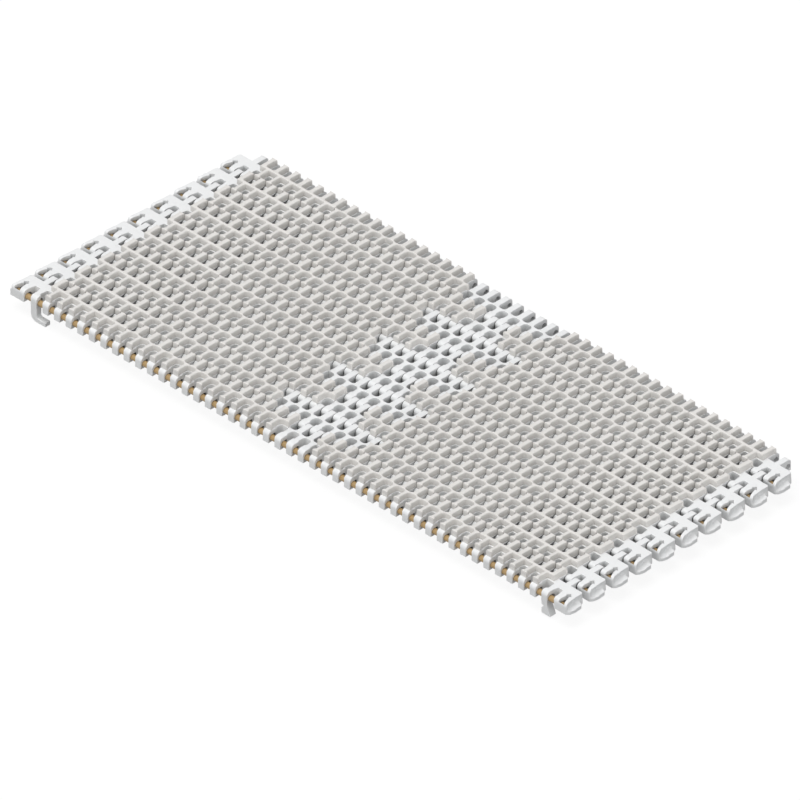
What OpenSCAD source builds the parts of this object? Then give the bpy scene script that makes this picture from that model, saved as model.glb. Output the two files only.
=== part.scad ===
// Side-flexing modular plastic belt, 1 inch pitch, with raised ribbed grip pads.
// X runs across the belt, Y is the direction of travel, Z is up.
// Each row is five moulded modules side by side; a pin joins it to the row in front.
// The origin is under the middle of the belt, level with the lowest hold-down foot.

/* [Belt] */
// Number of rows, one pitch each
rows = 10; // [2:1:10]
// Distance from one pin to the next
pitch = 25.4; // [24:0.1:32]
// Distance between neighbouring front links across the belt
link_pitch = 12.7; // [12.4:0.1:15]
// Front links from the middle of the belt to the last one with a grip rib
field_links = 21; // [18:1:24]
// Front links from the middle to the last one in the woven field
weave_links = 15; // [9:1:16]

/* [Base] */
// Thickness of the moulded base
base_t = 10.5; // [10:0.1:13]
// Reach of every knuckle past the pin centre
knuckle_reach = 3.8; // [3.6:0.1:4.4]
// Height of the pin centre above the underside
pin_up = 4.3; // [4:0.1:5.2]
// Width of a front knuckle
nose_w = 6.4; // [5.6:0.1:6.6]
// Width of the neck behind a front knuckle
neck_w = 4.4; // [3.6:0.1:5]
// Width of a rear link
rear_w = 5.4; // [4.6:0.1:5.6]
// Rear side of the full-width part of a front knuckle
nose_back = 4.2; // [4:0.1:5]

/* [Pins] */
// Diameter of a hinge pin
pin_d = 5; // [4:0.1:5.2]
// Running clearance round a pin
pin_clear = 0.1; // [0.05:0.01:0.1]
// Length of the slots that let one edge of the belt close up
slot_play = 2.4; // [1:0.1:2.4]

/* [Crossbar] */
// Front edge of the woven bar, from the pin
weave_front = 11.3; // [10.8:0.1:11.8]
// Front edge of the woven bar where there is no grip pad
flat_front = 12.0; // [11.6:0.1:12.3]
// Rear edge of the woven bar
weave_rear = 12.7; // [12.4:0.1:14]
// Front edge of the straight bar near the belt edges
edge_front = 10.4; // [10:0.1:11]
// Rear edge of the straight bar
edge_rear = 14.1; // [13:0.1:15]
// Front edge of the plate beside an edge block
plate_front = 8; // [8:0.1:9.4]
// Rear edge of the plate beside an edge block
plate_rear = 16.4; // [15.4:0.1:17]

/* [Grip pads] */
// Height of the grip ribs above the base
grip_h = 5.2; // [3:0.1:6]
// Width of a front rib
grip_front_w = 2.8; // [2:0.1:3.4]
// Width of a rear rib
grip_rear_w = 3.9; // [3:0.1:4.2]
// Width of the flared front end of a front rib
grip_tee_w = 5.5; // [4:0.1:5.6]
// Width of the flared end of a rear rib
grip_tail_w = 5.3; // [4:0.1:5.4]
// Front face of the ribs, ahead of the pin
grip_lead = 0.7; // [0.2:0.1:1]
// Rear face of the ribs, past the rear pin
grip_trail = 0.3; // [0:0.1:1]
// Bar of the pad: front edge in the woven field
grip_weave_front = 11.9; // [11.4:0.1:12.2]
// Bar of the pad: front edge in the edge modules
grip_edge_front = 11.4; // [10.8:0.1:12]
// Rear edge of the pad's bar, set back from the bar of the base
grip_set_back = 0.2; // [0.1:0.1:0.4]
// Height of the arches in front of a woven pad's bar
arch_rise = 2.6; // [1:0.1:4]

/* [Flat modules] */
// Half width of the flat centre module, in links, on odd rows
flat_odd = 1.25; // [0.25:1:5.25]
// Half width of the flat centre module, in links, on even rows
flat_even = 3.75; // [1.75:1:5.75]
// Gap between two modules of one row
seam = 0.2; // [0.1:0.05:0.4]

/* [Edge blocks] */
// Width of an edge block from its inner front corner to its outer side
block_w = 13.2; // [12:0.1:15]
// From the middle of the last front link, over the hooks and lugs, to the edge block
block_gap = 12.4; // [12.2:0.1:14]
// Depth of the hold-down hook below the base
hook_drop = 12.4; // [8:0.1:16]
// Thickness of the hook's foot
hook_foot = 3.8; // [3:0.1:5]
// Reach of the hook across the belt
hook_reach = 16; // [12:0.1:18]
// Depth of the guide lug below the base
lug_drop = 10.9; // [7:0.1:12]
// Length of the hook along the belt
hook_depth = 5.6; // [4:0.1:7]
// Length of the lug along the belt
lug_depth = 6.6; // [4:0.1:7]
// Front faces of hook and lug, ahead of the pin
tab_lead = 3.6; // [2:0.1:3.6]
// Depth of the arrowhead in an edge block
arrow_depth = 4; // [1:0.1:6]

/* [Hidden] */
row_ids = [for (k = [1:rows]) str(k < 10 ? "0" : "", k)];
eps = 0.01;
$fn = 48;

base_white = [0.93, 0.94, 0.95];
grip_cream = [0.90, 0.88, 0.85];
pin_amber = [0.78, 0.60, 0.28];

function row_y(k) = (k - 1 - rows / 2) * pitch;
bore_r = pin_d / 2 + pin_clear;
seam_x = (weave_links + 0.25) * link_pitch;
pad_end = (field_links + 0.65) * link_pitch;
tab_x = (field_links + 1) * link_pitch;
block_x = tab_x + block_gap;
arch_r = 1.2;
belt_half = block_x + block_w + 1.6;
function flat_x(k) = (k % 2 == 1 ? flat_odd : flat_even) * link_pitch;

// Carries a side profile, drawn as (y, z), across the belt from x0 to x1
module across(x0, x1) {
    translate([x0, 0, 0]) rotate([90, 0, 90]) linear_extrude(x1 - x0) children();
}

// Outline of a row from the side: two round-topped knuckles joined by a full-height web
module row_outline() {
    translate([-knuckle_reach, 0]) square([pitch + 2 * knuckle_reach, base_t - knuckle_reach]);
    square([pitch, base_t]);
    for (y = [0, pitch]) translate([y, base_t - knuckle_reach]) circle(knuckle_reach);
}

// Front slot and rear bore that the pins run in
module pin_slots() {
    for (y = [0, slot_play]) translate([y, pin_up]) circle(bore_r);
    translate([0, pin_up - bore_r]) square([slot_play, 2 * bore_r]);
}
module side_profile() {
    difference() {
        row_outline();
        pin_slots();
        translate([pitch, pin_up]) circle(bore_r);
    }
}

// Cell in front of a bar, w wide, with a round or a square end at y = 0
module front_cell(w, round_end) {
    translate([-w / 2, -8]) square([w, round_end ? 8 - w / 2 : 8]);
    if (round_end) translate([0, -w / 2]) circle(w / 2);
}

// Cell behind a bar, the other way round
module rear_cell(w, round_end) {
    translate([-w / 2, round_end ? w / 2 : 0]) square([w, round_end ? 8 - w / 2 : 8]);
    if (round_end) translate([0, w / 2]) circle(w / 2);
}

// Shallow arch in front of the bar of a woven pad, w wide, rise high
module arch_cell(w, rise) {
    r = (w * w / 4 + rise * rise) / (2 * rise);
    intersection() {
        translate([0, -r]) circle(r);
        translate([-w / 2, -rise]) square([w, rise]);
    }
    translate([-w / 2, -8]) square([w, 8 - rise]);
}

// Numbers of the front links and rear links between x0 and x1
function front_links(x0, x1) = [for (i = [ceil(x0 / link_pitch):floor(x1 / link_pitch)]) i];
function rear_links(x0, x1) =
    [for (i = [ceil(x0 / link_pitch - 0.5):floor(x1 / link_pitch - 0.5)]) i + 0.5];
function cells(x0, x1) = [for (i = [floor(x0 / link_pitch) - 1:ceil(x1 / link_pitch) + 1]) i];

// Link reaching forward: an end, a taper and a neck that runs back to the bar
module forward_link(end_w, neck, y_end, y_wide, y_neck, y_bar) {
    polygon([[-end_w / 2, y_end], [end_w / 2, y_end], [end_w / 2, y_wide], [neck / 2, y_neck],
             [neck / 2, y_bar], [-neck / 2, y_bar], [-neck / 2, y_neck], [-end_w / 2, y_wide]]);
}

// Plan of the links of a base module
module base_links(x0, x1, y_bar, y_neck) {
    for (i = front_links(x0, x1)) translate([i * link_pitch, 0])
        forward_link(nose_w, neck_w, -knuckle_reach, nose_back, y_neck, y_bar);
    for (i = rear_links(x0, x1)) translate([i * link_pitch - rear_w / 2, y_bar])
        square([rear_w, pitch + knuckle_reach - y_bar]);
}

// Woven base module between x0 and x1
module field_base(x0, x1, y_front) {
    front_gap = link_pitch - neck_w;
    rear_gap = link_pitch - rear_w;
    y_arch = y_front - front_gap / 2;
    intersection() {
        linear_extrude(base_t) {
            difference() {
                translate([x0, y_arch]) square([x1 - x0, weave_rear + rear_gap / 2 - y_arch]);
                for (i = cells(x0, x1)) {
                    translate([(i + 0.5) * link_pitch, y_front]) front_cell(front_gap, true);
                    translate([i * link_pitch, weave_rear]) rear_cell(rear_gap, true);
                }
            }
            base_links(x0, x1, y_front, y_arch);
        }
        across(x0, x1) side_profile();
    }
}

// Plan of the ribs of a grip pad: front ribs flare at the front, rear ribs at the back
module rib_plan(x0, x1, y_bar) {
    for (i = front_links(x0, x1)) translate([i * link_pitch, 0])
        polygon([[-grip_tee_w / 2, -grip_lead], [grip_tee_w / 2, -grip_lead],
            [grip_front_w / 2, 1.6], [grip_front_w / 2, y_bar], [-grip_front_w / 2, y_bar],
            [-grip_front_w / 2, 1.6]]);
    for (i = rear_links(x0, x1)) translate([i * link_pitch, 0])
        polygon([[-grip_rear_w / 2, y_bar], [grip_rear_w / 2, y_bar],
            [grip_rear_w / 2, pitch - 1.1], [grip_tail_w / 2, pitch + grip_trail],
            [-grip_tail_w / 2, pitch + grip_trail], [-grip_rear_w / 2, pitch - 1.1]]);
}

// Plan of a woven grip pad
module woven_pad(x0, x1) {
    y_rear = weave_rear - grip_set_back;
    rear_gap = link_pitch - grip_rear_w;
    y_arch = grip_weave_front - arch_rise;
    difference() {
        translate([x0, y_arch]) square([x1 - x0, y_rear + rear_gap / 2 - y_arch]);
        for (i = cells(x0, x1)) {
            translate([(i + 0.5) * link_pitch, grip_weave_front])
                arch_cell(link_pitch - grip_front_w, arch_rise);
            translate([i * link_pitch, y_rear]) rear_cell(rear_gap, true);
        }
    }
    rib_plan(x0, x1, (grip_weave_front + y_rear) / 2);
}

// Plan of the straight-barred grip pad of an edge module
module edge_pad() {
    x0 = seam_x + seam / 2;
    translate([x0, grip_edge_front])
        square([pad_end - x0, edge_rear - grip_set_back - grip_edge_front]);
    rib_plan(x0, pad_end, (grip_edge_front + edge_rear) / 2);
}

// Plan of the right edge module: straight bar, links, tab link, plate and edge block
module edge_plan() {
    x0 = seam_x + seam / 2;
    plate_x = pad_end + 1;
    translate([x0, edge_front]) square([plate_x + 1 - x0, edge_rear - edge_front]);
    base_links(x0, pad_end, (edge_front + edge_rear) / 2, nose_back + 1);
    translate([plate_x, edge_front]) square([block_x + 2 - plate_x, plate_rear - edge_front]);
    translate([tab_x + 2, plate_front]) square([block_x - tab_x, plate_rear - plate_front]);
    translate([tab_x, 0]) polygon([[-3.1, -knuckle_reach], [3.2, -knuckle_reach], [3.2, 3.6],
        [3.8, 8.8], [3.8, 11], [-2, 11], [-1.1, 2.4], [-3.1, 1]]);
    translate([tab_x + 3.9, 9]) square([rear_w, pitch + knuckle_reach - 9]);
    difference() {
        translate([block_x - 2.8 - arch_r, plate_front - arch_r]) square(arch_r + 0.2);
        translate([block_x - 2.8 - arch_r, plate_front - arch_r]) circle(arch_r);
    }
}

// Plan of the right edge block
module block_plan() {
    translate([block_x, 0]) polygon([[-2.8, plate_front], [-1.9, 1.6],
        [-1.9, -knuckle_reach], [block_w - 1.2, -knuckle_reach], [block_w + 0.6, -1.6],
        [block_w + 0.4, 1.1], [block_w - 1, plate_rear - 4.3], [block_w - 3.2, plate_rear],
        [-2.8, plate_rear]]);
}

// Opening over the end of the pin in an edge block
module pocket_plan() {
    polygon([[-1, 5.4], [1.9, 5.6], [5, 0.8 - knuckle_reach], [-1.6, 0.8 - knuckle_reach]]);
}

// Shallow arrowhead behind that opening, where the pin is pushed in or out
module arrow_plan() {
    polygon([[-1.2, 5.2], [-2.3, 5.7], [0.1, 9], [3.7, 5.7], [2.1, 5.2]]);
}

// Outer flange that slides on the side guide, with a top that rises to the rear
module flange() {
    intersection() {
        translate([block_x, 0, 0]) linear_extrude(base_t)
            polygon([[8, -knuckle_reach + 0.4], [block_w - 1.2, -knuckle_reach + 0.4],
                [block_w + 1.6, 3.2], [block_w + 1.4, 9.6], [block_w, 11], [8, 11]]);
        across(block_x, belt_half + 1)
            polygon([[-knuckle_reach, 0], [11, 0], [11, 4], [5.4, 4.4], [-knuckle_reach, 2.2]]);
    }
}

// Right edge module; the left one is its mirror image
module edge_base() {
    difference() {
        union() {
            intersection() {
                linear_extrude(base_t) edge_plan();
                across(seam_x, belt_half) side_profile();
            }
            intersection() {
                linear_extrude(base_t) block_plan();
                across(seam_x, belt_half) row_outline();
            }
            flange();
        }
        translate([block_x + 4.6, 0, 0]) {
            translate([0, 0, -eps]) linear_extrude(base_t + 1) pocket_plan();
            translate([0, 0, base_t - arrow_depth]) linear_extrude(base_t) arrow_plan();
        }
        translate([block_x + block_w + 1.2, 11.5, 7]) rotate([66, 0, 0]) cylinder(14, 2, 1.6);
        across(block_x - 4, block_x + block_w - 2) pin_slots();
    }
}

// Puts a piece into its row, with the underside of the base at hook height
module in_row(k) { translate([0, row_y(k), hook_drop]) children(); }

// Hold-down hook under the left tab link: a leg that turns under the belt
module hook() {
    r = hook_foot + 2.4;
    translate([-tab_x - 3.2, hook_depth - tab_lead, 0]) rotate([90, 0, 0])
            linear_extrude(hook_depth) difference() {
        union() {
            translate([0, r - hook_drop]) square([nose_w, hook_drop - r + eps]);
            translate([r, r - hook_drop]) circle(r);
            translate([r, -hook_drop]) square([hook_reach - r, hook_foot]);
        }
        translate([nose_w, hook_foot - hook_drop]) square([hook_reach, hook_drop - hook_foot + eps]);
    }
}

// Guide lug under the right tab link, with a groove on its inner side
module lug() {
    translate([tab_x - 3.1, lug_depth - tab_lead, 0]) rotate([90, 0, 0]) linear_extrude(lug_depth)
        polygon([[0, 0], [0, -2.5], [2, -3.4], [2, -5], [0, -5.9], [0, -lug_drop],
            [9.7, -lug_drop], [9.2, -lug_drop + 2], [nose_w, -2.5], [nose_w, 0]]);
}

module left_edge(k) {
    color(base_white) in_row(k) { mirror([1, 0, 0]) edge_base(); hook(); }
}

module right_edge(k) {
    color(base_white) in_row(k) { edge_base(); lug(); }
}

module field_modules(k) {
    color(base_white) in_row(k) for (s = [0, 1]) mirror([s, 0, 0])
        field_base(flat_x(k) + seam / 2, seam_x - seam / 2, weave_front);
}

module flat_module(k) {
    x = flat_x(k) - seam / 2;
    color(base_white) in_row(k) field_base(-x, x, flat_front);
}

module grip_pads(k) {
    color(grip_cream) in_row(k) translate([0, 0, base_t]) linear_extrude(grip_h)
        for (s = [0, 1]) mirror([s, 0]) {
            edge_pad();
            woven_pad(flat_x(k) + seam / 2, seam_x - seam / 2);
        }
}

module pin(k) {
    color(pin_amber) in_row(k) translate([0, 0, pin_up])
        across(4.2 - block_x - block_w / 2, block_x + block_w - 2) circle(pin_d / 2);
}

for (k = [1:rows]) {
    left_edge(k);
    right_edge(k);
    field_modules(k);
    flat_module(k);
    grip_pads(k);
    pin(k);
}
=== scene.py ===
import bmesh
import bpy
import numpy as np
from mathutils import Matrix, Vector


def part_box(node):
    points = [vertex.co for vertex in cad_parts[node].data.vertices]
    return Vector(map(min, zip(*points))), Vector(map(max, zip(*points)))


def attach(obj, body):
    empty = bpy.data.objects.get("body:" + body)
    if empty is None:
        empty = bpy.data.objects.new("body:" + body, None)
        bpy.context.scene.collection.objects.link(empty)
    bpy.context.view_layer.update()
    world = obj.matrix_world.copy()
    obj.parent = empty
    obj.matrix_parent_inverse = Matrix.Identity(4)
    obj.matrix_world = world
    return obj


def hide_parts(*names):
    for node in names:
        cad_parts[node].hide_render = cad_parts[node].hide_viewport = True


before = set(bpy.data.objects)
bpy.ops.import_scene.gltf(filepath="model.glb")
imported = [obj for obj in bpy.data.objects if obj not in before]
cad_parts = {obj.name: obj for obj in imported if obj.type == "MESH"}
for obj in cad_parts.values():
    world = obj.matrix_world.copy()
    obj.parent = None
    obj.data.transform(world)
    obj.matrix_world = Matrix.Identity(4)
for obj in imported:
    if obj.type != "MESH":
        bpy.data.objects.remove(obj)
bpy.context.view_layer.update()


# Woven base modules: white acetal mouldings, two to a row, one each side of the flat module.
# Front links reach to the row ahead, rear links to the row behind, and a wavy bar joins them.
# Their outline is worked out in millimetres from the row's front pin, then raised to its height.
LINK_PITCH, ROW_PITCH = 12.7, 25.4
# Heights of the top and of the pins' middles over the underside
BASE_HEIGHT, PIN_UP = 10.5, 4.3
# Radius of the bores round the pins, and the play of the front pin in its slots
BORE_RADIUS, SLOT_PLAY = 2.6, 2.4
# Reach of every link past its pin, and the easing of its corners
KNUCKLE, EASE = 3.8, 0.3
# Half widths of a front link's nose and neck, and of a rear link
NOSE_HALF, NECK_HALF, REAR_HALF = 3.2, 2.2, 2.7
# Y at which a front link's nose ends, its neck has begun, and a rear link begins
NOSE_BACK, NECK_FRONT, REAR_ROOT = 4.2, 5.0, 18.0
# Half the gap between two modules of a row, and the outer end of the weave
HALF_SEAM = 0.1
WEAVE_END = 15.25 * LINK_PITCH
# Number of rows, one to a pin, and the height of the underside over the floor
ROWS = sum(name.startswith("pin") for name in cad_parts)
FLOOR_TO_BASE = 1000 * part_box("row_01_field_modules")[0][2]


def row_start(row):
    """Y of a row's front pin in millimetres, from the middle of the pin's box."""
    lowest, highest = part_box(f"pin_{row:02d}")
    return 500 * (lowest[1] + highest[1])


def cell_end(middle, half, radius, tip, towards, limits):
    """End of a cell, left to right: straight at y = tip with two quarter circles down to its sides,
    which run on towards -y (towards=-1) or +y (towards=1). Only what lies between the limits is kept,
    with one point on a limit that cuts it and no other within a short step of that limit."""
    turn = np.radians(np.linspace(0, 90, 7))
    step = 0.3
    x = np.concatenate([-half + radius * (1 - np.cos(turn)), half - radius * (1 - np.cos(turn[::-1]))])
    y = tip + towards * radius * (1 - np.sin(np.concatenate([turn, turn[::-1]])))
    x = x + middle
    inside = (x > limits[0] + step) & (x < limits[1] - step)
    ends = [(edge, np.interp(edge, x, y)) for edge in limits if x[0] < edge < x[-1]]
    return np.array(sorted([*ends, *zip(x[inside], y[inside])]))


def front_link(middle, limits):
    """Front link from above, left to right: neck, flare, and the wide nose over the pin."""
    side = [(NECK_HALF, NECK_FRONT), (NOSE_HALF, NOSE_BACK), (NOSE_HALF, EASE - KNUCKLE),
            (NOSE_HALF - EASE, -KNUCKLE)]
    points = [(middle - half, y) for half, y in side] + [(middle + half, y) for half, y in side[::-1]]
    return [(min(max(x, limits[0]), limits[1]), y) for x, y in points]


def rear_link(middle):
    """Straight rear link from above, right to left, with its two end corners eased."""
    reach = ROW_PITCH + KNUCKLE
    side = [(REAR_HALF, REAR_ROOT), (REAR_HALF, reach - EASE), (REAR_HALF - EASE, reach)]
    return [(middle + half, y) for half, y in side] + [(middle - half, y) for half, y in side[::-1]]


def places(limits, shift, margin=0.0):
    """Places across the belt between two limits, widened by a margin, counted in links from the middle:
    every whole number plus a shift of 0 or a half."""
    first = int(np.ceil((limits[0] - margin) / LINK_PITCH - shift))
    last = int(np.floor((limits[1] + margin) / LINK_PITCH - shift))
    return [number + shift for number in range(first, last + 1)]


# A cell whose middle is up to this far outside a module can still cut into it
CELL_MARGIN = 6.4


def front_side(limits, cell, link):
    """Front of a module, left to right: links on the whole numbers, and a cell on every half between.
    A cell is its half width, the radius of its corners and the y of its tip."""
    points = []
    for place in sorted(places(limits, 0) + places(limits, 0.5, CELL_MARGIN)):
        middle = place * LINK_PITCH
        if place == int(place):
            points += link(middle, limits)
        elif middle + cell[0] > limits[0] and middle - cell[0] < limits[1]:
            points += cell_end(middle, *cell, -1, limits).tolist()
    return points


def rear_side(limits, cell, link):
    """Rear of a module, right to left: links on the halves, and a cell on every whole number between."""
    points = []
    for place in sorted(places(limits, 0.5) + places(limits, 0, CELL_MARGIN))[::-1]:
        middle = place * LINK_PITCH
        if place != int(place):
            points += link(middle)
        elif middle + cell[0] > limits[0] and middle - cell[0] < limits[1]:
            points += cell_end(middle, *cell, 1, limits)[::-1].tolist()
    return points


def comb(limits, front_cell, rear_cell, front=front_link, rear=rear_link):
    """Closed outline of a module between two limits across the belt, anticlockwise, without any point
    that repeats the one before it."""
    points = np.array(front_side(limits, front_cell, front) + rear_side(limits, rear_cell, rear))
    gap = np.linalg.norm(points - np.roll(points, 1, axis=0), axis=1)
    return points[gap > 1e-4]


def inset(points, amount):
    """Moves a closed anticlockwise outline inwards: each point goes along the mitre of its two edges.
    The mitre of a sharp corner is held back."""
    sharpest = 0.4
    ahead = np.roll(points, -1, axis=0) - points
    ahead /= np.linalg.norm(ahead, axis=1)[:, None]
    normal = np.stack([-ahead[:, 1], ahead[:, 0]], axis=1)
    before = np.roll(normal, 1, axis=0)
    mitre = (normal + before) / np.maximum(1 + (normal * before).sum(axis=1), sharpest)[:, None]
    return points + amount * mitre


def knuckle_reach(height):
    """Reach of a link past its pin: full up to the round, then along a quarter circle to the top."""
    above = max(0.0, height - (BASE_HEIGHT - KNUCKLE))
    return float(np.sqrt(max(0.0, KNUCKLE ** 2 - above ** 2)))


def ring_at(points, height, amount, ends=None):
    """Ring of a solid: the outline moved inwards by an amount, at one height. Where ends is given, links
    reach no further past their pins than ends(height)."""
    ring = inset(points, amount)
    if ends is not None:
        reach = ends(height)
        ring[:, 1] = np.clip(ring[:, 1], -reach, ROW_PITCH + reach)
    return np.column_stack([ring, np.full(len(ring), height)])


def stacked(rings):
    """Closed solid from rings of equal count, from the bottom up: quads join each ring to the next, and
    one face closes each end."""
    count = len(rings[0])
    here = np.arange(count)
    after = (here + 1) % count
    quads = [np.stack([here, after, after + count, here + count], axis=1) + level * count
             for level in range(len(rings) - 1)]
    top = here + (len(rings) - 1) * count
    return np.concatenate(rings), np.concatenate(quads).tolist() + [here[::-1].tolist(), top.tolist()]


def raised(points, levels, ends=None):
    """Solid on an outline: levels are (height, inset) pairs from the bottom up, and ends(height) says
    how far the links reach past their pins."""
    return stacked([ring_at(points, height, amount, ends) for height, amount in levels])


# Heights of the knuckles' round, and the levels of a module from its eased foot to its rounded rim
ROUND = [BASE_HEIGHT - KNUCKLE * (1 - np.sin(np.radians(angle))) for angle in (0, 16, 32, 48, 62)]
BASE_LEVELS = [(0, 0.2), (0.2, 0), *((height, 0) for height in ROUND), (BASE_HEIGHT - 0.22, 0),
               (BASE_HEIGHT - 0.06, 0.06), (BASE_HEIGHT, 0.2)]


def mesh_of(name, verts, faces):
    """Mesh in metres from millimetre points."""
    mesh = bpy.data.meshes.new(name)
    mesh.from_pydata((np.asarray(verts) / 1000).tolist(), [], faces)
    mesh.update()
    return mesh


def joined(shape, tools, how):
    """Cuts tool meshes out of a mesh, or adds them to it, and returns the result."""
    body = bpy.data.objects.new("body", shape)
    bpy.context.collection.objects.link(body)
    spare = [body]
    for tool in tools:
        other = bpy.data.objects.new("tool", tool)
        bpy.context.collection.objects.link(other)
        spare.append(other)
        cut = body.modifiers.new("join", "BOOLEAN")
        cut.operation = how
        cut.solver = "MANIFOLD"
        cut.object = other
    bpy.context.view_layer.update()
    result = bpy.data.meshes.new_from_object(body.evaluated_get(bpy.context.evaluated_depsgraph_get()))
    for obj in spare:
        bpy.data.objects.remove(obj)
    return result


def rod(name, start, end, centres):
    """Solid with the section of a bore stretched between centres (y, z), run along x."""
    sides = 20
    turn = np.linspace(0, 2 * np.pi, sides, endpoint=False) + np.pi / sides
    ring = np.stack([BORE_RADIUS * np.cos(turn), BORE_RADIUS * np.sin(turn)], axis=1)
    front, rear = np.array(centres[0]), np.array(centres[-1])
    ring += np.where((ring[:, :1] * (rear - front)[0] > 0), rear, front)
    x = np.repeat([start, end], sides)
    verts = np.column_stack([x, np.tile(ring, (2, 1))])
    here = np.arange(sides)
    after = (here + 1) % sides
    quads = np.stack([here, after, after + sides, here + sides], axis=1).tolist()
    return mesh_of(name, verts, quads + [here[::-1].tolist(), (here + sides).tolist()])


# Middles (y, z) of the front slot's two ends and of the rear bore, and how far a cut runs past its piece
SLOT = [(0, PIN_UP), (SLOT_PLAY, PIN_UP)]
REAR_BORE = [(ROW_PITCH, PIN_UP)]
OVERRUN = 1


def moulded(limits, front_cell, rear_cell):
    """A base module between two limits across the belt, with its front slot and rear bore cut."""
    start, end = limits[0] - OVERRUN, limits[1] + OVERRUN
    mesh = mesh_of("module", *raised(comb(limits, front_cell, rear_cell), BASE_LEVELS, knuckle_reach))
    return joined(mesh, [rod("slot", start, end, SLOT), rod("bore", start, end, REAR_BORE)], "DIFFERENCE")


def mirrored(mesh):
    """The same mesh on the other side of the belt, with its faces turned back outwards."""
    other = mesh.copy()
    other.transform(Matrix.Diagonal((-1, 1, 1, 1)))
    other.flip_normals()
    return other


def together(name, meshes, shift):
    """One mesh from several, moved by a shift in millimetres. Only edges past 29 degrees stay sharp."""
    work = bmesh.new()
    for mesh in meshes:
        work.from_mesh(mesh)
    bmesh.ops.translate(work, verts=work.verts, vec=Vector(shift) / 1000)
    mesh = bpy.data.meshes.new(name)
    work.to_mesh(mesh)
    work.free()
    mesh.shade_smooth()
    mesh.set_sharp_from_angle(angle=np.radians(29))
    return mesh


def fitted(node, meshes, row, material, height=FLOOR_TO_BASE):
    """Puts meshes in their row in place of a CAD node, on the same body."""
    mesh = together(node, meshes, (0, row_start(row), height))
    mesh.materials.append(material)
    piece = bpy.data.objects.new("look_" + node, mesh)
    bpy.context.collection.objects.link(piece)
    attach(piece, f"pin_{row:02d}" if node.startswith("pin") else f"row_{row:02d}")
    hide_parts(node)


def linear(*srgb):
    """Linear colour of an 8-bit sRGB triple, by the sRGB curve."""
    v = np.array(srgb) / 255
    return tuple(float(c) for c in np.where(v <= 0.04045, v / 12.92, ((v + 0.055) / 1.055) ** 2.4))


def added(tree, kind, values=None):
    """Adds a shader node of a kind, and sets the inputs that values name."""
    node = tree.nodes.new("ShaderNode" + kind)
    for socket, value in (values or {}).items():
        node.inputs[socket].default_value = value
    return node


# A Mix node's sockets for two colours, and the one for the mixed colour
FIRST_COLOUR, SECOND_COLOUR, MIXED = 6, 7, 2
# Metres behind a row's front pin between which its front half, with lighter painted shade, fades into its
# rear half, with heavier painted shade
HALF_WAY = (0.0118, 0.0128)


def plastic(name, colour, darker, shade_colour, roughness, grain_scale, relief, reach=0.006, air=(0.2, 0.6),
            spared=0.0):
    """Moulded plastic: a slow noise drifts the colour, and a fine one sets roughness and relief.
    Painted shade darkens it towards the shade colour where the open air within reach, as ambient occlusion
    measures it, falls through the two shares in air.
    The front half of every row counts as more open by the share in spared, so the rear half of every row
    gets the heavier painted shade."""
    mat = bpy.data.materials.new(name)
    mat.use_nodes = True
    tree = mat.node_tree
    shader = tree.nodes["Principled BSDF"]
    drift, grain_depth = 0.07, 0.0001
    place = added(tree, "TexCoord")
    cloud = added(tree, "TexNoise", {"Scale": 24.0, "Detail": 4.0})
    tint = added(tree, "Mix", {FIRST_COLOUR: (*colour, 1), SECOND_COLOUR: (*darker, 1)})
    tint.data_type = "RGBA"
    # Painted shade: ambient occlusion, weighted darker in the rear half of each row, mixes the shade
    # colour into the base colour
    open_air = added(tree, "AmbientOcclusion", {"Distance": reach})
    open_air.samples = 8
    axes = added(tree, "SeparateXYZ")
    along_row = added(tree, "Math", {1: ROW_PITCH / 1000, 2: 0.0})
    along_row.operation = "WRAP"
    front_half = added(tree, "MapRange", {"From Min": HALF_WAY[1], "From Max": HALF_WAY[0]})
    opened = added(tree, "Math", {1: spared})
    opened.operation = "MULTIPLY_ADD"
    shade_ramp = added(tree, "MapRange", {"From Min": air[0], "From Max": air[1]})
    shaded_tint = added(tree, "Mix", {FIRST_COLOUR: (*shade_colour, 1)})
    shaded_tint.data_type = "RGBA"
    grain = added(tree, "TexNoise", {"Scale": grain_scale, "Detail": 2.0})
    rough = added(tree, "MapRange", {"To Min": roughness - drift, "To Max": roughness + drift})
    bump = added(tree, "Bump", {"Strength": relief, "Distance": grain_depth})
    link = tree.links.new
    link(place.outputs["Object"], cloud.inputs["Vector"])
    link(place.outputs["Object"], grain.inputs["Vector"])
    link(cloud.outputs["Fac"], tint.inputs["Factor"])
    link(place.outputs["Object"], axes.inputs["Vector"])
    link(axes.outputs["Y"], along_row.inputs[0])
    link(along_row.outputs["Value"], front_half.inputs["Value"])
    link(front_half.outputs["Result"], opened.inputs[0])
    link(open_air.outputs["AO"], opened.inputs[2])
    link(opened.outputs["Value"], shade_ramp.inputs["Value"])
    link(shade_ramp.outputs["Result"], shaded_tint.inputs["Factor"])
    link(tint.outputs[MIXED], shaded_tint.inputs[SECOND_COLOUR])
    link(shaded_tint.outputs[MIXED], shader.inputs["Base Color"])
    link(grain.outputs["Fac"], rough.inputs["Value"])
    link(rough.outputs["Result"], shader.inputs["Roughness"])
    link(grain.outputs["Fac"], bump.inputs["Height"])
    link(bump.outputs["Normal"], shader.inputs["Normal"])
    return mat


def acetal(name, shade_colour, reach, air, spared=0.0):
    """White acetal with a fine grain. Its three kinds differ only in how much painted shade darkens their
    recesses.
    """
    return plastic(name, linear(240, 241, 241), linear(235, 236, 237), shade_colour, roughness=0.5,
                   grain_scale=2500.0, relief=0.08, reach=reach, air=air, spared=spared)


def rows(odd):
    """Numbers of the odd rows (odd=1) or of the even rows (odd=0), from the front."""
    return range(2 - odd, ROWS + 1, 2)


# Painted shade: its recesses, within 6 mm, darken towards a dark grey
ACETAL = acetal("white_acetal", linear(62, 63, 65), reach=0.006, air=(0.1, 0.45))
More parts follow.
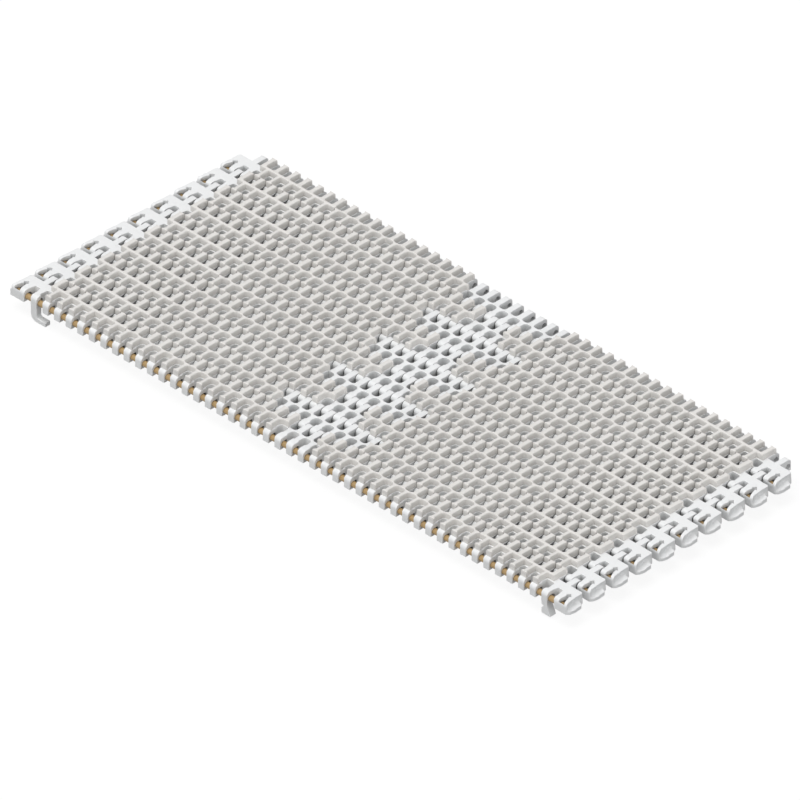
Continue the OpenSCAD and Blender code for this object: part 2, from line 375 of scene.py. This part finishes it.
# Cells in front of and behind the wavy bar: half width, corner radius, and y of the tip
WOVEN_FRONT = (LINK_PITCH / 2 - NECK_HALF, 3.0, 11.4)
WOVEN_REAR = (LINK_PITCH / 2 - REAR_HALF, 2.6, 12.83)
# Half width of the flat module between them, in links, on even and on odd rows
FLAT_ENDS = (3.75, 1.25)
for odd in (0, 1):
    inner = FLAT_ENDS[odd] * LINK_PITCH + HALF_SEAM
    module = moulded((inner, WEAVE_END - HALF_SEAM), WOVEN_FRONT, WOVEN_REAR)
    pair = [module, mirrored(module)]
    for row in rows(odd):
        fitted(f"row_{row:02d}_field_modules", pair, row, ACETAL)


# Flat modules: the same white moulding in the middle of each row, without a pad and with a thinner bar.
# They are short on odd rows and long on even ones, so that the seams between modules are bricked.
# Nothing stands on them, so the gaps round their pins show, and this acetal's painted shade is darkest
# there, near black, and heavier in the rear half of each row.
OPEN_ACETAL = acetal("open_white_acetal", linear(5, 5, 6), reach=0.02, air=(0.14, 0.3), spared=0.14)
FLAT_FRONT = (LINK_PITCH / 2 - NECK_HALF, 3.0, 11.9)
for odd in (0, 1):
    edge = FLAT_ENDS[odd] * LINK_PITCH - HALF_SEAM
    module = moulded((-edge, edge), FLAT_FRONT, WOVEN_REAR)
    for row in rows(odd):
        fitted(f"row_{row:02d}_flat_module", [module], row, OPEN_ACETAL)


# Grip pads: soft cream rubber moulded over the woven and edge modules.
# Ribs stand on every link and end in small tees; a thinner wavy bar joins them.
# Its recesses get painted shade, darkening towards a grey brown
RUBBER = plastic("cream_rubber", linear(230, 228, 225), linear(222, 219, 215), linear(150, 145, 140),
                 roughness=0.72, grain_scale=3500.0, relief=0.25)
GRIP_HEIGHT = 5.2
# Levels of a pad, from a foot that spreads a little to a well rounded top
GRIP_LEVELS = [(0, -0.12), (GRIP_HEIGHT - 0.9, 0), (GRIP_HEIGHT - 0.5, 0.07), (GRIP_HEIGHT - 0.2, 0.22),
               (GRIP_HEIGHT - 0.04, 0.4), (GRIP_HEIGHT, 0.5)]
# Half widths of the ribs' necks, of a front rib's tee and of a rear rib's tail
FRONT_NECK, REAR_NECK, TEE, TAIL = 1.4, 1.95, 2.75, 2.65


def front_rib(middle, limits):
    """Front rib from above, left to right: neck, flare and a tee with a flat front. It is narrower than
    a front link's nose and stays clear of the seams, so no limit cuts it."""
    side = [(FRONT_NECK, 2.2), (TEE, 0.4), (TEE, -0.6)]
    return [(middle - half, y) for half, y in side] + [(middle + half, y) for half, y in side[::-1]]


def rear_rib(middle):
    """Rear rib from above, right to left: neck, flare and a tail with a flat end."""
    side = [(REAR_NECK, REAR_ROOT), (REAR_NECK, 24.0), (TAIL, 25.0), (TAIL, 25.7)]
    return [(middle + half, y) for half, y in side] + [(middle - half, y) for half, y in side[::-1]]


PAD_FRONT = (LINK_PITCH / 2 - FRONT_NECK, 3.0, 12.0)
PAD_REAR = (LINK_PITCH / 2 - REAR_NECK, 2.6, 12.7)
EDGE_PAD_FRONT = (LINK_PITCH / 2 - FRONT_NECK, 1.2, 11.45)
EDGE_PAD_REAR = (LINK_PITCH / 2 - REAR_NECK, 1.6, 13.89)
# The last front link that carries a rib, and the outer end of the pads beyond it
LAST_LINK = 21
PAD_END = (LAST_LINK + 0.65) * LINK_PITCH


def pad(limits, front_cell, rear_cell):
    """A grip pad between two limits across the belt."""
    return mesh_of("pad", *raised(comb(limits, front_cell, rear_cell, front_rib, rear_rib), GRIP_LEVELS))


edge_pad = pad((WEAVE_END + HALF_SEAM, PAD_END), EDGE_PAD_FRONT, EDGE_PAD_REAR)
for odd in (0, 1):
    inner = FLAT_ENDS[odd] * LINK_PITCH + HALF_SEAM
    woven = pad((inner, WEAVE_END - HALF_SEAM), PAD_FRONT, PAD_REAR)
    pads = [woven, mirrored(woven), edge_pad, mirrored(edge_pad)]
    for row in rows(odd):
        fitted(f"row_{row:02d}_grip_pads", pads, row, RUBBER, FLOOR_TO_BASE + BASE_HEIGHT)


# Edge modules: white acetal again, with a straight bar, a tab link, a plate and an edge block.
# The block has a pocket over the pin's end, an arrowhead behind it and a scooped side with a flange.
# The side's x is worked out from y and z: flange below, hollow above it, then a rounded top edge.
# Painted shade reaches 12 mm here and darkens recesses towards a near-black grey, less in each row's front
# half
EDGE_ACETAL = acetal("edge_white_acetal", linear(52, 53, 55), reach=0.012, air=(0.12, 0.3), spared=0.14)
EDGE_FRONT = (LINK_PITCH / 2 - NECK_HALF, 1.4, 10.2)
EDGE_REAR = (LINK_PITCH / 2 - REAR_HALF, 1.8, 14.1)
EDGE_START = WEAVE_END + HALF_SEAM
# Outer sides of the last front link and the last rear link before the tab link
FRONT_END = LAST_LINK * LINK_PITCH + NOSE_HALF
REAR_END = (LAST_LINK + 0.5) * LINK_PITCH + REAR_HALF
# X of the tab link's middle, of the line that the block is measured from, of the pocket's middle, and of
# the pin's end, which crosses the pocket and stops just inside its outer wall
TAB = (LAST_LINK + 1) * LINK_PITCH
BLOCK = TAB + 12.4
POCKET = BLOCK + 4.6
PIN_END = BLOCK + 9.0
# The plate's front and rear edges, and the sides and the corners of its one rear link
PLATE_FRONT, PLATE_REAR = 8.0, 16.4
PLATE_LINK = (TAB + 3.9, TAB + 9.3)
PLATE_CORNER = 0.6
# Radius of the round in which the plate's front edge turns into the block
ARCH_RADIUS = 1.3
# Y of each ring's points along the block's side, from its front corner to its rear one
SIDE_Y = np.concatenate([np.linspace(-KNUCKLE, 0, 7), np.linspace(1.2, 10.8, 9),
                         [11.6, 12.2, 13.6, 15.2, 16.0, PLATE_REAR]])
# The flange on each side of the belt: x of its outer edge, and the height of its top
FLANGE_Y = [-KNUCKLE, -3.2, -1.2, 3.3, 11.4, 12.2, PLATE_REAR]
RIGHT_FLANGE = (BLOCK + np.interp(SIDE_Y, FLANGE_Y, [11.3, 12.1, 13.7, 14.7, 14.0, 11.1, 9.8]),
                np.interp(SIDE_Y, [-KNUCKLE, 5.4, 11.4], [2.4, 3.5, 3.9]))
LEFT_FLANGE = (BLOCK + np.interp(SIDE_Y, FLANGE_Y, [12.7, 13.5, 14.1, 14.7, 14.0, 11.1, 9.8]),
               np.interp(SIDE_Y, [-KNUCKLE, 0.6, 5.4, 11.4], [5.2, 4.6, 3.5, 3.9]))
# X of the rim above it, the radius of its rounded edge, and the depths of the hollow and of the dimple
RIM = BLOCK + np.interp(SIDE_Y, [-KNUCKLE, -3.2, 0.6, 6.6, 15.2, PLATE_REAR],
                        [11.3, 12.0, 11.4, 10.7, 10.2, 9.4])
RIM_ROUND = np.interp(SIDE_Y, [-KNUCKLE, 2.0], [1.3, 0.4])
SCOOP_MIDDLE = 6.9
HOLLOW = 1.6 * np.exp(-((SIDE_Y - SCOOP_MIDDLE) / 4.5) ** 2)
DIMPLE = 1.0 * np.exp(-((SIDE_Y - SCOOP_MIDDLE) / 1.3) ** 2)


def side_x(height, flange):
    """X of the block's side at one height: the flange up to its top, and above it a hollow that falls in
    as (1 - s) to the power 3.2, where s goes from 0 to 1 in 3 mm. The hollow fades out over the top 3 mm,
    the dimple is a bell curve round a height of 5 mm, and the rim ends in a quarter circle."""
    reach, top = flange
    s = np.clip((height - top) / 3.0, 0, 1)
    inner = RIM - HOLLOW * np.clip((BASE_HEIGHT - height) / 3, 0, 1)
    x = inner + (reach - inner) * (1 - s) ** 3.2 - DIMPLE * np.exp(-((height - 5.0) / 0.9) ** 2)
    over = np.clip((height - (BASE_HEIGHT - RIM_ROUND)) / RIM_ROUND, 0, 1)
    return x - RIM_ROUND * (1 - np.sqrt(1 - over ** 2))


# The tab link from the bar round its front to the plate, and the block's front: x from TAB or BLOCK, y
TAB_EDGE = [(-3.3, 10.2), (-2.5, 10.0), (-2.1, 9.5), (-1.95, 8.8), (-1.25, 3.4), (-1.3, 2.7), (-1.8, 2.1),
            (-2.8, 1.5), (-3.1, 1.0), (-3.1, EASE - KNUCKLE), (-2.8, -KNUCKLE), (2.9, -KNUCKLE),
            (3.2, EASE - KNUCKLE), (3.2, 3.6), (3.75, 6.6), (3.8, 7.4), (4.0, 7.85), (4.5, PLATE_FRONT)]
BLOCK_EDGE = [(-1.9, 1.6), (-1.9, 0.4 - KNUCKLE), (-1.5, -KNUCKLE)]


def edge_outline(height, flange):
    """Outline of an edge module at one height, anticlockwise."""
    turn = np.radians(np.linspace(0, 90, 6))
    arch_x = BLOCK - 2.8 - ARCH_RADIUS * (1 - np.sin(turn))
    arch_y = PLATE_FRONT - ARCH_RADIUS * (1 - np.cos(turn))
    inner, outer = PLATE_LINK
    reach = ROW_PITCH + KNUCKLE
    points = front_side((EDGE_START, FRONT_END), EDGE_FRONT, front_link)
    points += [(TAB + x, y) for x, y in TAB_EDGE]
    points += np.stack([arch_x, arch_y], axis=1).tolist()
    points += [(BLOCK + x, y) for x, y in BLOCK_EDGE]
    points += np.stack([side_x(height, flange), SIDE_Y], axis=1).tolist()
    points += [(outer, PLATE_REAR), (outer, reach - PLATE_CORNER), (outer - PLATE_CORNER, reach)]
    points += [(inner + PLATE_CORNER, reach), (inner, reach - PLATE_CORNER), (inner, PLATE_REAR)]
    points += [(REAR_END, PLATE_REAR)]
    return np.array(points + rear_side((EDGE_START, REAR_END), EDGE_REAR, rear_link), dtype=float)


def prism(name, outline, bottom, top):
    """Upright solid on an anticlockwise outline, whose x is counted from the pocket's middle."""
    return mesh_of(name, *raised(np.array(outline) + [POCKET, 0], [(bottom, 0), (top, 0)]))


def carried(name, outline, rear, front):
    """Solid with an (x, z) outline, anticlockwise from the front, carried along y from rear to front,
    with its edges eased at both ends."""
    levels = [(rear, EASE), (rear - EASE, 0), (front + EASE, 0), (front, EASE)]
    flat, faces = raised(np.array(outline, dtype=float), levels)
    return mesh_of(name, flat[:, [0, 2, 1]], faces)


# Heights and insets of an edge module's rings, which lie close together up the side and round the rim
EDGE_LEVELS = [(0, 0.2), *((height, 0) for height in (0.2, 1.2, 2.2, 2.9, 3.5, 4.0, 4.5, 5.0, 5.5, 6.1)),
               *((height, 0) for height in ROUND), (BASE_HEIGHT - 0.25, 0), (BASE_HEIGHT - 0.08, 0.06),
               (BASE_HEIGHT, 0.2)]
# X at which the slot ends, just past the pin, and the bore, just past the plate's rear link
SLOT_END, BORE_END = PIN_END + 0.3, PLATE_LINK[1] + 0.5
# Outlines of the pocket and of the arrowhead from above, with x from the pocket's middle
POCKET_PLAN = [[-1.6, -3.35], [4.7, -3.35], [1.9, 5.6], [-1.0, 5.4]]
ARROW_PLAN = [[-1.2, 5.2], [2.1, 5.2], [3.7, 5.7], [0.1, 9.0], [-2.3, 5.7]]
ARROW_DEPTH = 4


def edge_body(flange):
    """Edge module without its hook or lug: rings at rising heights, each on its own outline, with the
    slot, the bore, the pocket and the arrowhead cut."""
    mesh = mesh_of("edge", *stacked([ring_at(edge_outline(height, flange), height, amount, knuckle_reach)
                                     for height, amount in EDGE_LEVELS]))
    start, top = EDGE_START - OVERRUN, BASE_HEIGHT + OVERRUN
    tools = [rod("slot", start, SLOT_END, SLOT), rod("bore", start, BORE_END, REAR_BORE),
             prism("pocket", POCKET_PLAN, -OVERRUN, top),
             prism("arrow", ARROW_PLAN, BASE_HEIGHT - ARROW_DEPTH, top)]
    return joined(mesh, tools, "DIFFERENCE")


# The hook under the left tab link: its leg's half width, its drop below the base, the thickness of its
# foot and its reach across the belt, and the radii of its bend and of the fillet inside the bend
LEG_HALF, HOOK_DROP, HOOK_FOOT, HOOK_REACH = 3.2, 12.4, 3.8, 16.0
HOOK_BEND, HOOK_FILLET = 6.2, 1.5
# How far hook and lug run up into the base, and y of their front faces
TAB_OVERLAP, TAB_FRONT = 0.8, -3.6
bend = np.radians(np.linspace(-90, 0, 9))
fillet = bend[::-1]
leg_in, leg_out = TAB - LEG_HALF, TAB + LEG_HALF
toe, foot_top = leg_out - HOOK_REACH, HOOK_FOOT - HOOK_DROP
inner_arc = zip(leg_in - HOOK_FILLET * (1 - np.cos(fillet)), foot_top + HOOK_FILLET * (1 + np.sin(fillet)))
outer_arc = zip(leg_out - HOOK_BEND * (1 - np.cos(bend)), HOOK_BEND * (1 + np.sin(bend)) - HOOK_DROP)
hook_side = [(leg_in, TAB_OVERLAP), *inner_arc, (toe + EASE, foot_top), (toe, foot_top - EASE),
             (toe, EASE - HOOK_DROP), (toe + EASE, -HOOK_DROP), *outer_arc, (leg_out, TAB_OVERLAP)]
# The lug under the right one, grooved on its inner side and spreading downwards: x from TAB, z
LUG_DROP = 10.9
lug_side = [(-3.1, TAB_OVERLAP), (-3.1, -2.5), (-1.2, -3.4), (-1.2, -5.0), (-3.1, -5.9),
            (-3.1, EASE - LUG_DROP), (EASE - 3.1, -LUG_DROP), (6.6 - EASE, -LUG_DROP),
            (6.6, EASE - LUG_DROP), (6.2, -8.9), (3.3, -2.5), (3.3, TAB_OVERLAP)]
hook = carried("hook", hook_side, 2.0, TAB_FRONT)
lug = carried("lug", [(TAB + x, z) for x, z in lug_side], 3.0, TAB_FRONT)
left = [mirrored(joined(edge_body(LEFT_FLANGE), [hook], "UNION"))]
right = [joined(edge_body(RIGHT_FLANGE), [lug], "UNION")]
for row in range(1, ROWS + 1):
    fitted(f"row_{row:02d}_left_edge", left, row, EDGE_ACETAL)
    fitted(f"row_{row:02d}_right_edge", right, row, EDGE_ACETAL)


# Pins: amber nylon rod from edge block to edge block, with a small chamfer at each end.
# A chamfered rod is a circle carried along x, with its radius drawn in at both ends.
# Painted shade darkens the pins in their slots and bores towards a dark brown
AMBER = plastic("amber_nylon", linear(186, 156, 108), linear(166, 136, 90), linear(84, 70, 48),
                roughness=0.4, grain_scale=900.0, relief=0.1)
lowest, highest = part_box("pin_01")
PIN_RADIUS = 500 * (highest[2] - lowest[2])
CHAMFER = 0.5
turn = np.linspace(0, 2 * np.pi, 32, endpoint=False)
round_bar = np.stack([PIN_RADIUS * np.cos(turn), PIN_RADIUS * np.sin(turn)], axis=1)
flat, faces = raised(round_bar, [(-PIN_END, CHAMFER), (CHAMFER - PIN_END, 0), (PIN_END - CHAMFER, 0),
                                 (PIN_END, CHAMFER)])
pin = mesh_of("pin", flat[:, [2, 0, 1]] + [0, 0, PIN_UP], faces)
for row in range(1, ROWS + 1):
    fitted(f"pin_{row:02d}", [pin], row, AMBER)


# Studio: a pale paper floor just under the hooks, soft suns from above, from the front and from the
# right, and a camera without perspective that looks down on the belt from its right front corner.
def seen_rays(tree):
    """One for the rays of the eye, of reflections and through clear bodies, and nought for all others."""
    path = added(tree, "LightPath")
    largest = path.outputs["Is Camera Ray"]
    for kind in ("Is Glossy Ray", "Is Transmission Ray"):
        either = added(tree, "Math")
        either.operation = "MAXIMUM"
        tree.links.new(largest, either.inputs[0])
        tree.links.new(path.outputs[kind], either.inputs[1])
        largest = either.outputs["Value"]
    return largest


def floor_material():
    """White paper to the eye and in reflections, and dull grey to all other rays, so that little light
    comes back up into the belt."""
    mat = bpy.data.materials.new("paper")
    mat.use_nodes = True
    tree = mat.node_tree
    dull = (0.12, 0.12, 0.12, 1)
    paper = tree.nodes["Principled BSDF"]
    paper.inputs["Base Color"].default_value = dull
    paper.inputs["Roughness"].default_value = 0.9
    shaded = added(tree, "BsdfDiffuse", {"Color": dull})
    glow = added(tree, "Emission", {"Strength": 0.9})
    lit = added(tree, "AddShader")
    choose = added(tree, "MixShader")
    link = tree.links.new
    link(shaded.outputs[0], lit.inputs[0])
    link(glow.outputs[0], lit.inputs[1])
    link(seen_rays(tree), choose.inputs[0])
    link(paper.outputs[0], choose.inputs[1])
    link(lit.outputs[0], choose.inputs[2])
    link(choose.outputs[0], tree.nodes["Material Output"].inputs["Surface"])
    return mat


FLOOR_SIZE, FLOOR_Z = 8, -0.0002
bpy.ops.mesh.primitive_plane_add(size=FLOOR_SIZE, location=(0, 0, FLOOR_Z))
floor = bpy.context.object
floor.name = "floor"
floor.data.materials.append(floor_material())

scene = bpy.context.scene
scene.view_settings.view_transform = "Standard"
world = bpy.data.worlds.new("studio")
scene.world = world
world.use_nodes = True
tree = world.node_tree
sky = tree.nodes["Background"]
sky.inputs["Color"].default_value = (1, 1, 1, 1)
strength = added(tree, "MapRange", {"To Min": 0.5, "To Max": 1.0})
tree.links.new(seen_rays(tree), strength.inputs["Value"])
tree.links.new(strength.outputs["Result"], sky.inputs["Strength"])

# Each sun: the way it shines, its strength, and the degrees across that soften its shadows
SUNS = {"top": ((0.15, 0.22, -0.95), 1.35, 40), "front": ((0.05, 0.95, -0.25), 0.57, 30),
        "side": ((-0.95, 0.05, -0.25), 0.5, 30)}
for name, (aim, power, spread) in SUNS.items():
    lamp = bpy.data.lights.new(name, "SUN")
    lamp.energy = power
    lamp.angle = np.radians(spread)
    holder = bpy.data.objects.new(name, lamp)
    scene.collection.objects.link(holder)
    holder.rotation_euler = Vector(aim).to_track_quat("-Z", "Y").to_euler()

# The view: how many degrees it looks down, and its width and distance in metres. It comes over the right
# front corner, at 45 degrees to both sides of the belt, and is aimed at a point level with the pads' tops.
VIEW_DOWN, VIEW_WIDTH, VIEW_DISTANCE = 35.264, 0.6192, 2.0
eye = Vector((1, -1, np.sqrt(2) * np.tan(np.radians(VIEW_DOWN))))
look = Vector((0.0243, -0.0332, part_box("row_01_grip_pads")[1][2]))
cam_data = bpy.data.cameras.new("camera")
cam_data.type = "ORTHO"
cam_data.ortho_scale = VIEW_WIDTH
camera = bpy.data.objects.new("camera", cam_data)
scene.collection.objects.link(camera)
camera.location = look + eye.normalized() * VIEW_DISTANCE
camera.rotation_euler = (look - camera.location).to_track_quat("-Z", "Y").to_euler()
scene.camera = camera
